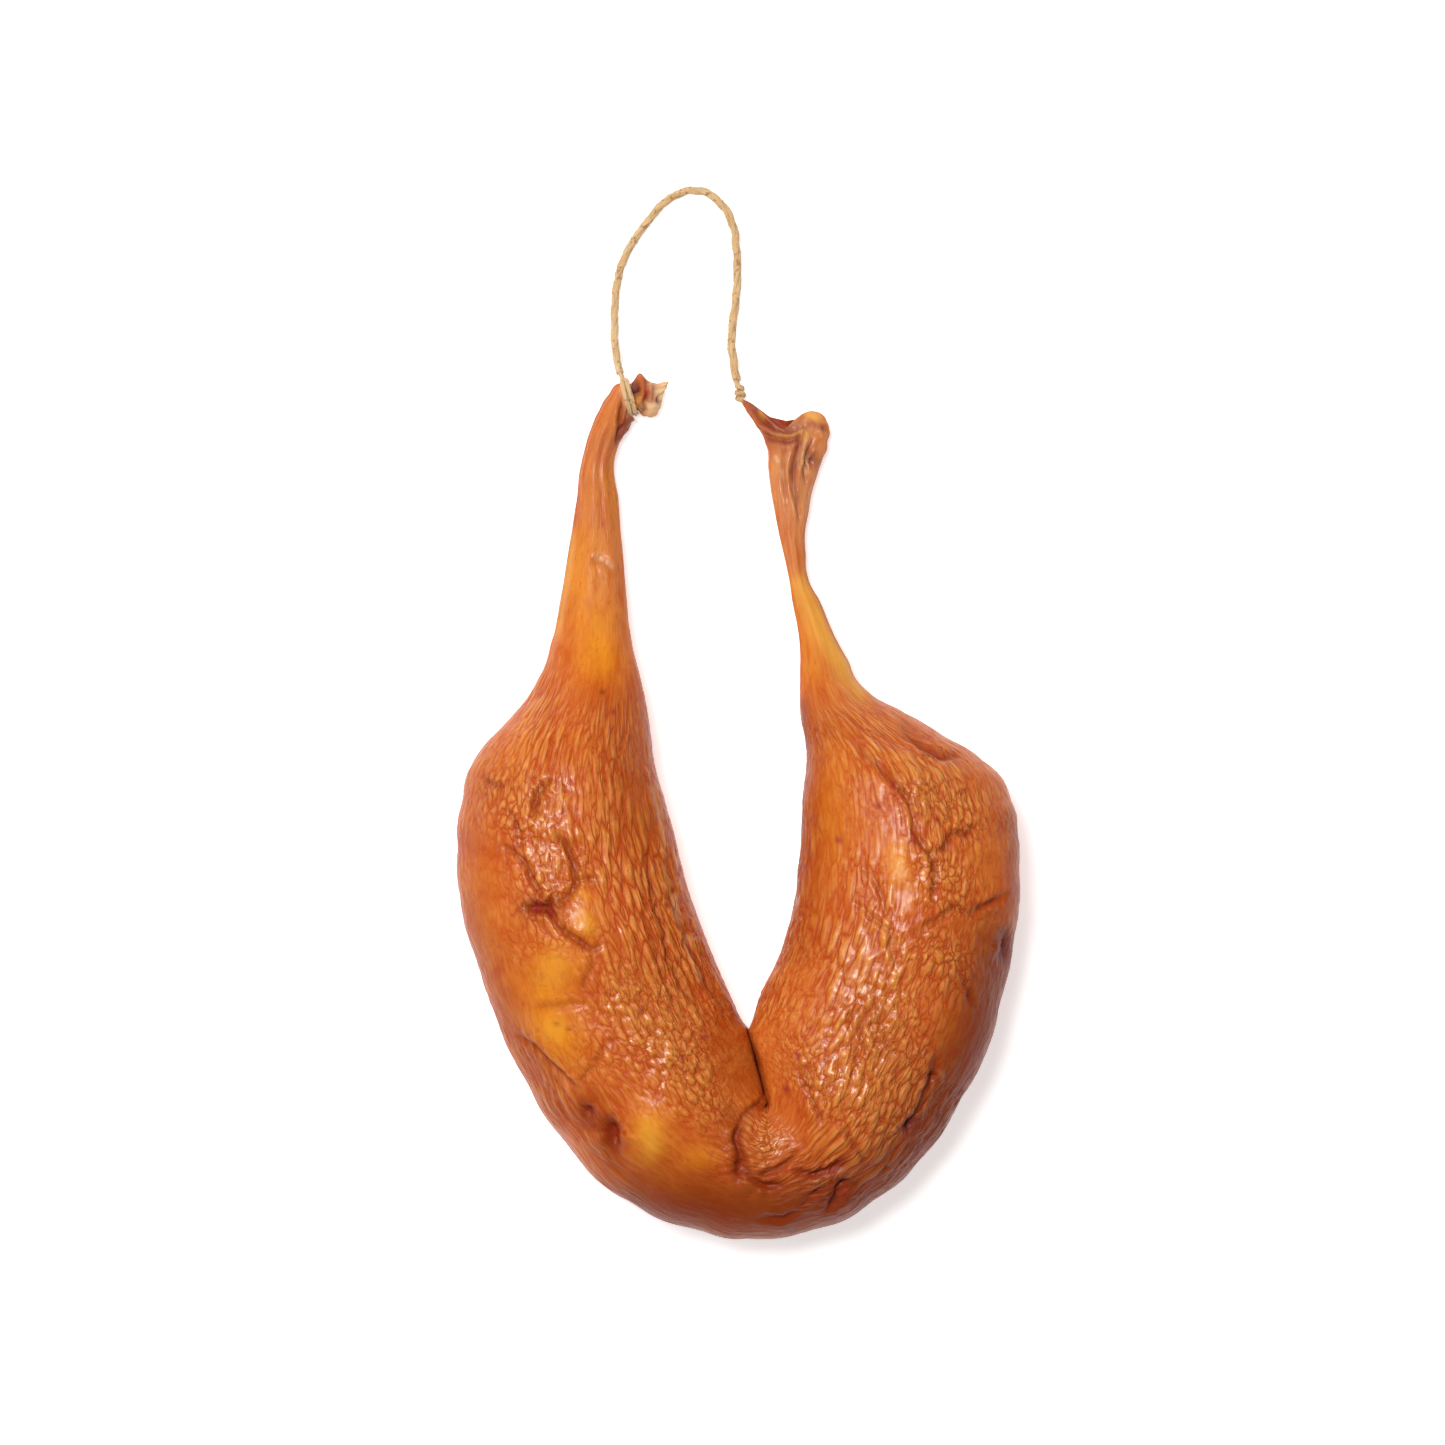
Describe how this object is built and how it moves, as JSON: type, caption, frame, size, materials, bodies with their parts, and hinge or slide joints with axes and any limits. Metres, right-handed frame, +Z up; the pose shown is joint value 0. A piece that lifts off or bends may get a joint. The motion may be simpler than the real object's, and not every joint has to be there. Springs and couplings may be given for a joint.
{
  "type": "farinheira sausage",
  "caption": "Plump smoked flour sausage bent into a tight horseshoe, its casing gathered into thin necks that a loop of twine ties together for hanging.",
  "frame": {"origin": "on the surface that the sausage lies on, under the middle of the sausage's own box", "axes": "+Y from the bend towards the tied ends and the twine loop, +X to the right as seen from above, +Z up"},
  "size_m": [0.1126, 0.2111, 0.0354],
  "materials": {
    "casing": "wrinkled, slightly glossy dried casing over an orange-brown filling",
    "twine": "matt twisted cotton twine, tanned by smoke"
  },
  "bodies": {
    "root": {"sausage": "casing", "twine_loop": "twine", "twine_tie_left": "twine", "twine_tie_right": "twine"}
  },
  "joints": []
}
